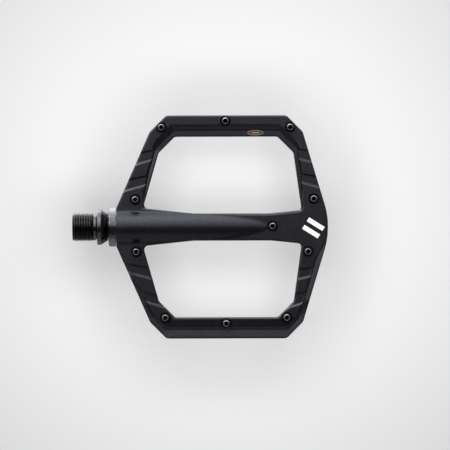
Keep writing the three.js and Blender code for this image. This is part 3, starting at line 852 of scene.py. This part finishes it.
def spindle_mesh():
    """Crank thread, relief, flange, cone, journal and bearing seat, with a hexagonal key socket."""
    (start, _, _), (end, _, _) = ends_mm("spindle")
    angles = full_turn(96)
    socket = hexagon_radii(angles, KEY_FLATS)
    rings = [(start + 7.0, socket * 0.12), (start + 6.4, socket * 0.97), (start + 6.3, socket),
             (start + 0.35, socket), (start, socket + 0.35), (start, 6.0), (start + 0.12, 6.25)]
    for x in np.arange(start + 0.2, CRANK_THREAD_END, CRANK_THREAD[2] / 12):
        radii = thread_radii(x, angles, *CRANK_THREAD)
        lead_in = 6.3 + (x - start)
        run_out = 6.55 + np.clip((CRANK_THREAD_END - x) / 0.8, 0, 1) * 0.6
        rings.append((x, np.minimum(np.minimum(radii, lead_in), run_out)))
    relief = [(CRANK_THREAD_END, 6.5), (CRANK_THREAD_END + 0.1, 6.5), (-51.95, 6.5), (-51.85, 6.45),
              (-51.8, 6.0), (-51.75, 5.9), (-51.35, 5.9)]
    flange = [(-51.35, 8.35), (-51.3, 8.6), (-51.15, 8.77), (-50.95, FLANGE_RADIUS), (-50.85, FLANGE_RADIUS),
              (-49.75, FLANGE_RADIUS), (-49.65, FLANGE_RADIUS), (-49.45, 8.8), (-49.25, 8.66), (-49.15, 8.6)]
    cone = [(-46.35, 6.81), (-46.25, 6.75), (-46.12, 6.6), (-46.1, 6.4), (-46.1, 5.2)]
    shank = [(-46.0, 5.0), (-27, 5.0), (-24, 4.2), (-0.3, 4.2), (-0.3, 2.9), (end - 0.5, 2.9), (end, 2.4)]
    return loft("spindle_steel", rings_x(rings + relief + flange + cone + shank, angles))


def nut_mesh():
    """Retaining nut: crowned hexagonal head, washer face and the sleeve that screws into the cage."""
    start = ends_mm("retaining_nut")[0][0]
    angles = full_turn(288)
    hexagon = hexagon_radii(angles, NUT_FLATS, math.radians(NUT_TILT_DEG), NUT_CROWN, NUT_NOTCH)
    bore = [(NUT_SLEEVE_END, 6.1), (-43.9, 6.1), (-43.9, 7.1), (start + 0.3, 7.1), (start, 7.4)]
    head = [(start, 8.35), (start + 0.12, 8.75), (start + 0.4, 9.3), (start + 0.8, 9.65),
            (start + 1.1, NUT_HEAD_RADIUS), (NUT_SHOULDER - 0.5, NUT_HEAD_RADIUS),
            (NUT_SHOULDER - 0.15, 9.6), (NUT_SHOULDER, 9.3)]
    sleeve = [(NUT_SHOULDER, 7.5), (NUT_SLEEVE_END, 7.5)]
    rings = bore + [(x, np.minimum(hexagon, radius)) for x, radius in head] + sleeve
    return loft("retaining_nut_steel", rings_x(rings, angles), endless=True)


def pin_mesh(length, radius):
    """A threaded traction pin standing on its inner end at z = 0, with a hexagonal socket in its tip."""
    angles = full_turn(36)
    socket = hexagon_radii(angles, PIN_SOCKET_FLATS)
    rings = [(0, radius - 0.45), (0.4, radius - 0.25)]
    for z in np.arange(0.5, length - 1.0, PIN_PITCH / 6):
        rings.append((z, thread_radii(z, angles, radius, PIN_THREAD_DEPTH, PIN_PITCH)))
    tip = [(-0.95, 1.85), (-0.93, 1.54), (-0.45, 1.54), (-0.33, 1.53), (-0.22, 1.49), (-0.13, 1.42),
           (-0.06, 1.32), (0.0, 1.19), (-0.03, socket + 0.03), (-0.15, socket), (-1.9, socket),
           (-2.2, socket * 0.5)]
    rings += [(length + dz, radii) for dz, radii in tip]
    return loft("pin_steel", [ring_z(z, radii, angles) for z, radii in rings], sharp_deg=38)


def badge_mesh():
    """A blank oval plate: a raised rim, a sunk field and a plain raised oval in its middle."""
    low, high = ends_mm("oval_badge")
    (cx, cy, _), (hx, hy, _) = (low + high) / 2, (high - low) / 2
    base, top = low[2], high[2]
    angles = full_turn(72)
    edge = [(0.0, base), (0.0, top - 0.1), (0.04, top - 0.03), (0.1, top), (0.2, top),
            (0.26, top - 0.03), (0.3, top - BADGE_SINK)]
    middle = [(0.58, top - BADGE_SINK), (0.54, top - 0.03), (0.48, top), (0.2, top)]
    ovals = [(hx - inset, hy - inset, z) for inset, z in edge]
    ovals += [(hx * share, hy * share * 0.4, z) for share, z in middle]
    return loft("badge_enamel", [
        np.stack([cx + half_x * np.cos(angles), cy + half_y * np.sin(angles), np.full_like(angles, z)], 1)
        for half_x, half_y, z in ovals])


# ---------------- materials
class Tree:
    """A node tree, with short calls to add and join nodes."""

    def __init__(self, tree):
        self.tree = tree

    def add(self, kind, inputs=None, **settings):
        node = self.tree.nodes.new("ShaderNode" + kind)
        for key, value in settings.items():
            setattr(node, key, value)
        for key, value in (inputs or {}).items():
            self.set(node.inputs[key], value)
        return node

    def set(self, socket, value):
        if isinstance(value, bpy.types.NodeSocket):
            self.tree.links.new(value, socket)
        else:
            socket.default_value = value

    def blend(self, share, low, high):
        """A number that goes from low to high with a share."""
        inputs = {"Value": share, "To Min": low, "To Max": high}
        return self.add("MapRange", inputs).outputs["Result"]

    def window(self, share, start, end):
        """0 below start, 1 above end."""
        inputs = {"Value": share, "From Min": start, "From Max": end}
        return self.add("MapRange", inputs, clamp=True).outputs["Result"]

    def math(self, operation, a, b=0.0):
        node = self.add("Math", operation=operation)
        self.set(node.inputs[0], a)
        self.set(node.inputs[1], b)
        return node.outputs[0]

    def times(self, product, *others):
        for other in others:
            product = self.math("MULTIPLY", product, other)
        return product


class Nodes(Tree):
    """A material's node tree, which reads its pieces' own coordinates."""

    def __init__(self, name, colour):
        self.material = bpy.data.materials.new(name)
        self.material.use_nodes = True
        self.material.diffuse_color = (*colour, 1)
        super().__init__(self.material.node_tree)
        self.shader = self.tree.nodes["Principled BSDF"]
        self.place = self.add("TexCoord").outputs["Object"]

    def noise(self, size_mm, detail=3.0):
        """Fractal noise whose largest grains are about size_mm across."""
        inputs = {"Vector": self.place, "Scale": 1 / (size_mm * MM), "Detail": detail, "Roughness": 0.55}
        return self.add("TexNoise", inputs).outputs["Fac"]

    def axes(self):
        """X, Y and Z of the piece's own coordinates."""
        return self.add("SeparateXYZ", {"Vector": self.place}).outputs

    def distance(self, a, b):
        """Distance from the axis on which two coordinates are 0."""
        return self.math("SQRT", self.math("ADD", self.times(a, a), self.times(b, b)))

    def mix(self, share, first, second):
        """A colour between two colours."""
        node = self.add("Mix", data_type="RGBA")
        colours = [c if isinstance(c, bpy.types.NodeSocket) else (*c, 1) for c in (first, second)]
        self.set(node.inputs[0], share)
        self.set(node.inputs[6], colours[0])
        self.set(node.inputs[7], colours[1])
        return node.outputs[2]

    def bump(self, height, depth_mm, strength):
        inputs = {"Height": height, "Distance": depth_mm * MM, "Strength": strength}
        return self.add("Bump", inputs).outputs["Normal"]

    def finish(self, colour, roughness, bump, **inputs):
        """Sets the shader; bump is (height, depth in mm, strength)."""
        inputs.update(Base_Color=colour, Roughness=roughness, Normal=self.bump(*bump))
        for key, value in inputs.items():
            self.set(self.shader.inputs[key.replace("_", " ")], value)
        return self.material


def painted_edge_highlight(n, start, end):
    """A share that rises on outward edges; the materials use it to lay a painted edge highlight."""
    return n.window(n.add("NewGeometry").outputs["Pointiness"], start, end)


def stripe_mask(n):
    """Two plain slanted stripes printed on the outboard land of side A."""
    moved = {"Vector": n.place, "Location": tuple(-c * MM for c in STRIPES_AT)}
    turned = {"Vector": n.add("Mapping", moved).outputs[0], "Rotation": (0, 0, math.radians(STRIPES_DEG))}
    along, across, up = n.add("SeparateXYZ", {"Vector": n.add("Mapping", turned).outputs[0]}).outputs
    apart = n.math("ABSOLUTE", n.math("SUBTRACT", n.math("ABSOLUTE", across), STRIPE_OFFSET * MM))
    length, width = (n.window(gap, (half + STRIPE_SOFT) * MM, half * MM)
                     for gap, half in zip((n.math("ABSOLUTE", along), apart), STRIPE_HALF))
    return n.times(length, width, n.window(up, -0.2 * MM, 0.0))


def anodised_material():
    """Bead-blasted black anodised aluminium."""
    n = Nodes("black_anodised", (0.02, 0.02, 0.023))
    grain = n.noise(0.22, 2.0)
    fleck = n.noise(0.9, 2.0)
    cloud = n.noise(9.0, 4.0)
    base = n.mix(cloud, (0.096, 0.099, 0.114), (0.112, 0.115, 0.132))
    base = n.mix(n.blend(grain, 0.0, 0.4), base, (0.068, 0.071, 0.084))
    base = n.mix(n.window(fleck, 0.35, 0.68), base, (0.075, 0.078, 0.092))
    # Lighter on outward edges: a painted edge highlight, partly lighter anodising on the edges.
    with_painted_light = n.mix(n.times(painted_edge_highlight(n, 0.53, 0.6), 0.2), base, (0.2, 0.2, 0.21))
    rough = n.math("ADD", n.blend(grain, 0.28, 0.37), n.blend(cloud, -0.03, 0.03))
    ink = stripe_mask(n)
    return n.finish(n.mix(ink, with_painted_light, (0.80, 0.80, 0.79)), n.math("MAXIMUM", rough, n.times(ink, 0.6)),
                    (n.math("ADD", grain, ink), 0.012, 0.35), Metallic=n.blend(ink, 1.0, 0.0))


def shade_and_dark_cone_share(n):
    """Where the spindle is painted darker: painted shade in the thread's roots and in the groove before the
    flange, and a darker cone.
    """
    x, y, z = n.axes()

    def between(start, full, end, gone):
        return n.times(n.window(x, start * MM, full * MM), n.window(x, gone * MM, end * MM))

    roots = n.times(n.window(n.distance(y, z), 7.0 * MM, 6.75 * MM), n.window(x, -53.0 * MM, -53.2 * MM))
    cone = between(-49.25, -49.1, -46.0, -45.9)
    corner = between(-51.9, -51.85, -51.34, -51.3)
    return n.times(n.math("MAXIMUM", n.math("MAXIMUM", roots, cone), corner), 0.92)


def black_steel_material(name, brightness=1.0):
    """Blackened steel, turned on a lathe, with a painted edge highlight and painted shade in its thread roots
    and groove.
    """
    n = Nodes(name, (0.02, 0.02, 0.022))
    smear = n.noise(2.5, 4.0)
    stretched = n.add("Mapping", {"Vector": n.place, "Scale": (12.0, 1.0, 1.0)}).outputs["Vector"]
    lines = n.add("TexNoise", {"Vector": stretched, "Scale": 900.0, "Detail": 2.0}).outputs["Fac"]
    shades = (0.175, 0.178, 0.188), (0.21, 0.213, 0.223)
    base = n.mix(smear, *(tuple(brightness * c for c in shade) for shade in shades))
    # Lighter on outward edges: a painted edge highlight.
    with_painted_light = n.mix(n.times(painted_edge_highlight(n, 0.54, 0.64), 0.3), base, (0.34, 0.34, 0.35))
    # Near black in the thread roots and the groove, which is painted shade, and on the cone.
    with_painted_light = n.mix(shade_and_dark_cone_share(n), with_painted_light, (0.022, 0.024, 0.025))
    return n.finish(with_painted_light, n.blend(smear, 0.13, 0.24), (lines, 0.004, 0.25), Metallic=1.0)


def pin_material():
    """Black oxide steel with a lighter rim, partly a painted highlight, and painted shade in its socket and
    round the shelf below its rim.
    """
    n = Nodes("pin_steel", (0.25, 0.25, 0.26))
    smear = n.noise(0.8, 3.0)
    x, y, _ = n.axes()
    radius = n.distance(x, y)
    # Painted shade: near black inside the hex socket, and beyond the rim round the shelf and the thread.
    painted_shade = n.window(radius, 1.18 * MM, 1.13 * MM)
    painted_shade = n.math("MAXIMUM", painted_shade, n.times(n.window(radius, 1.56 * MM, 1.62 * MM), 0.8))
    # Lighter on the rim's rounded edges: a painted highlight.
    painted_rim_highlight = n.times(painted_edge_highlight(n, 0.5, 0.56), n.blend(smear, 0.7, 1.1))
    base = n.mix(painted_rim_highlight, (0.15, 0.15, 0.16), (0.68, 0.68, 0.69))
    base = n.mix(painted_shade, base, (0.006, 0.006, 0.006))
    rough = n.math("ADD", n.blend(smear, 0.34, 0.5), painted_shade)
    return n.finish(base, rough, (smear, 0.006, 0.3), Metallic=1.0)


def bright_steel_material():
    """Ground bearing steel."""
    n = Nodes("bright_steel", (0.6, 0.6, 0.62))
    fine = n.noise(0.3, 2.0)
    base = n.mix(n.noise(4.0), (0.5, 0.5, 0.52), (0.62, 0.62, 0.64))
    return n.finish(base, n.blend(fine, 0.15, 0.3), (fine, 0.003, 0.2), Metallic=1.0)


def bronze_material():
    """Oil-filled sintered bronze with fine open pores."""
    n = Nodes("sintered_bronze", (0.5, 0.33, 0.15))
    pores = n.window(n.noise(0.18, 2.0), 0.42, 0.6)
    base = n.mix(pores, (0.16, 0.09, 0.035), (0.46, 0.29, 0.12))
    return n.finish(base, n.blend(pores, 0.6, 0.35), (pores, 0.02, 0.5), Metallic=1.0)


def rubber_material():
    """Moulded black nitrile rubber."""
    n = Nodes("black_rubber", (0.02, 0.02, 0.02))
    dust = n.noise(1.2, 5.0)
    base = n.mix(dust, (0.012, 0.012, 0.013), (0.03, 0.03, 0.031))
    return n.finish(base, n.blend(dust, 0.55, 0.8), (n.noise(0.15), 0.01, 0.4))


def enamel_material(top):
    """Copper-coloured metal with dark enamel in its sunk field; top is the height of the raised parts."""
    n = Nodes("tan_enamel", (0.6, 0.4, 0.24))
    fleck = n.noise(0.5, 4.0)
    raised = n.window(n.axes()[2], (top - 0.12) * MM, (top - 0.05) * MM)
    field = n.mix(fleck, (0.03, 0.022, 0.018), (0.06, 0.042, 0.034))
    copper = n.mix(fleck, (0.22, 0.155, 0.115), (0.32, 0.245, 0.185))
    return n.finish(n.mix(raised, field, copper), n.blend(fleck, 0.3, 0.45), (fleck, 0.006, 0.3),
                    Metallic=0.25, Coat_Weight=0.3)


def floor_material():
    """Matt pale studio board."""
    n = Nodes("pale_board", (0.8, 0.8, 0.8))
    cloud = n.noise(260.0, 2.0)
    base = n.mix(cloud, (0.82, 0.82, 0.825), (0.86, 0.86, 0.862))
    return n.finish(base, 0.9, (n.noise(0.5), 0.01, 0.1), Specular_IOR_Level=0.1)


def paint(obj, material):
    obj.data.materials.clear()
    obj.data.materials.append(material)


# ---------------- pieces
def stand_in(piece, body, node):
    """Lets a piece ride on a body in place of a CAD node."""
    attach(piece, body)
    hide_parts(node)


def build_piece(name, mesh, body, node, material):
    piece = object_from(mesh, name)
    paint(piece, material)
    stand_in(piece, body, node)


def pin_places():
    """Middle of each pin of side A, in plan."""
    boxes = [ends_m(node) for node in PIN_NODES["a"]]
    return [tuple(((low + high) / 2 / MM)[:2]) for low, high in boxes]


def build_pins(material):
    low, high = ends_mm(PIN_NODES["a"][0])
    mesh = pin_mesh(high[2] - low[2], (high[1] - low[1]) / 2)
    mesh.materials.append(material)
    for side, nodes in PIN_NODES.items():
        for i, node in enumerate(nodes):
            low, high = ends_m(node)
            x, y, _ = (low + high) / 2
            turned_over = side == "b"
            pin = object_from(mesh, f"traction_pin_{side}_{i + 1:02d}")
            pin.location = (x, y, high[2] if turned_over else low[2])
            pin.rotation_euler = (math.pi if turned_over else 0, 0, PIN_TURN * i)
            stand_in(pin, "platform", node)


def paint_inner_nodes(finishes):
    """Gives each CAD node that stays its own finish."""
    for node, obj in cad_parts.items():
        for words, material in finishes:
            if any(word in node for word in words):
                paint(obj, material)
                break


# ---------------- stage, light and camera
def build_floor():
    mesh = bpy.data.meshes.new("floor_board")
    count = FLOOR_CELLS + 1
    steps = np.linspace(-FLOOR_HALF, FLOOR_HALF, count)
    corners = [row * count + column for row in range(FLOOR_CELLS) for column in range(FLOOR_CELLS)]
    faces = [(i, i + 1, i + count + 1, i + count) for i in corners]
    mesh.from_pydata([(x, y, FLOOR_Z) for y in steps for x in steps], [], faces)
    floor = object_from(mesh, "studio_floor")
    floor.visible_glossy = False
    paint(floor, floor_material())


def softbox(name, centre, size, radiance, diffuse=True, glossy=True):
    """A rectangular light of a given radiance that faces straight down."""
    data = bpy.data.lights.new(name, "AREA")
    data.shape = "RECTANGLE"
    data.size, data.size_y = size
    data.energy = radiance * math.pi * size[0] * size[1]
    lamp = bpy.data.objects.new(name, data)
    bpy.context.scene.collection.objects.link(lamp)
    lamp.location = centre
    lamp.visible_camera = False
    lamp.visible_diffuse = diffuse
    lamp.visible_glossy = glossy
    return lamp


def panel_radiance(t, direction):
    """Radiance of the panels, bright in front of the pedal, dim behind it and dark outboard of it, and
    below them of the horizon and the pale board."""
    dx, dy, dz = direction
    ramp_node = t.add("ValToRGB", {"Fac": t.window(dy, -1, 1)})
    stops = ramp_node.color_ramp.elements
    while len(stops) < len(PANEL):
        stops.new(0.5)
    for stop, (across, radiance) in zip(stops, PANEL):
        stop.position = (across + 1) / 2
        stop.color = (radiance / PANEL_MOST,) * 3 + (1,)
    panel = t.times(ramp_node.outputs["Color"], PANEL_MOST)
    bounce = t.times(t.window(dz, 0, -0.5), t.window(dy, 0.2, 0.6))
    outboard = t.window(dx, 0.25, 0.6)
    dimmed = t.times(t.math("ADD", panel, bounce), t.blend(outboard, 1.0, 0.1))
    board = t.times(t.window(dz, -0.1, -0.3), 0.21)
    horizon = t.times(t.window(t.math("ABSOLUTE", dz), 0.2, 0.08), 0.18)
    low = t.math("ADD", board, horizon)
    return t.math("ADD", dimmed, t.math("ADD", low, t.times(outboard, 0.1)))


def build_world():
    """Mirrors see the studio's panels, matt surfaces a pale room, and the camera a pale backdrop."""
    world = bpy.data.worlds.new("studio")
    bpy.context.scene.world = world
    world.use_nodes = True
    world.cycles.sampling_method = "NONE"
    t = Tree(world.node_tree)
    direction = t.add("SeparateXYZ", {"Vector": t.add("TexCoord").outputs["Generated"]}).outputs
    dx, dy, _ = direction
    side = t.times(t.window(dx, -0.16, -0.32), t.window(dx, -0.62, -0.42), t.window(dy, -0.35, -0.1))
    panels = t.add("Background", {"Strength": panel_radiance(t, direction)})
    side_box = t.add("Background", {"Color": (1.0, 0.95, 0.88, 1), "Strength": side})
    mirrored = t.add("AddShader")
    t.set(mirrored.inputs[0], panels.outputs[0])
    t.set(mirrored.inputs[1], side_box.outputs[0])
    room = t.add("Background", {"Color": (0.46, 0.46, 0.464, 1)})
    backdrop = t.add("Background", {"Color": (0.8, 0.8, 0.805, 1)})
    path = t.add("LightPath").outputs
    seen = room.outputs[0]
    for share, shader in ((path["Is Glossy Ray"], mirrored), (path["Is Camera Ray"], backdrop)):
        choose = t.add("MixShader", {"Fac": share})
        t.set(choose.inputs[1], seen)
        t.set(choose.inputs[2], shader.outputs[0])
        seen = choose.outputs[0]
    t.set(world.node_tree.nodes["World Output"].inputs["Surface"], seen)


def build_lights():
    """One lamp for highlights only, one for the floor and matt surfaces only, and the world."""
    softbox("front_box", (-0.1, 0.2225, 0.6), (1.0, 0.355), 0.35, diffuse=False)
    overhead = softbox("overhead_box", (0.012, 0.02, 0.3), (0.24, 0.24), 1.85, glossy=False)
    overhead.data.spread = math.radians(90)
    build_world()


def build_camera():
    """Looks straight down on tread side A, with the front edge up."""
    data = bpy.data.cameras.new("camera")
    data.lens, data.sensor_width = 400, 36
    frame_width = 0.225
    camera = bpy.data.objects.new("camera", data)
    bpy.context.scene.collection.objects.link(camera)
    camera.location = (0.0125, 0.00095, frame_width * data.lens / data.sensor_width)
    camera.rotation_euler = (0, 0, math.radians(-0.15))
    data.clip_start, data.clip_end = 0.1, 50
    bpy.context.scene.camera = camera


bpy.context.scene.view_settings.view_transform = "Standard"

build_piece("cage_body", cage_solid(pin_places()).mesh("cage_shell"), "platform", "platform_body",
            anodised_material())
build_pins(pin_material())
build_piece("spindle_axle", spindle_mesh(), "axle", "spindle", black_steel_material("black_steel"))
# The nut takes a 1.4 times lighter copy of the spindle's black steel: painted light that brightens the
# reflections on its flats.
build_piece("hex_retaining_nut", nut_mesh(), "platform", "retaining_nut",
            black_steel_material("nut_steel", 1.4))
build_piece("blank_oval_badge", badge_mesh(), "platform", "oval_badge",
            enamel_material(ends_mm("oval_badge")[1][2]))
paint_inner_nodes([
    (("seal",), rubber_material()),
    (("bushing",), bronze_material()),
    (("ring", "balls", "washer", "lock_nut", "spacer"), bright_steel_material()),
])
build_floor()
build_lights()
build_camera()
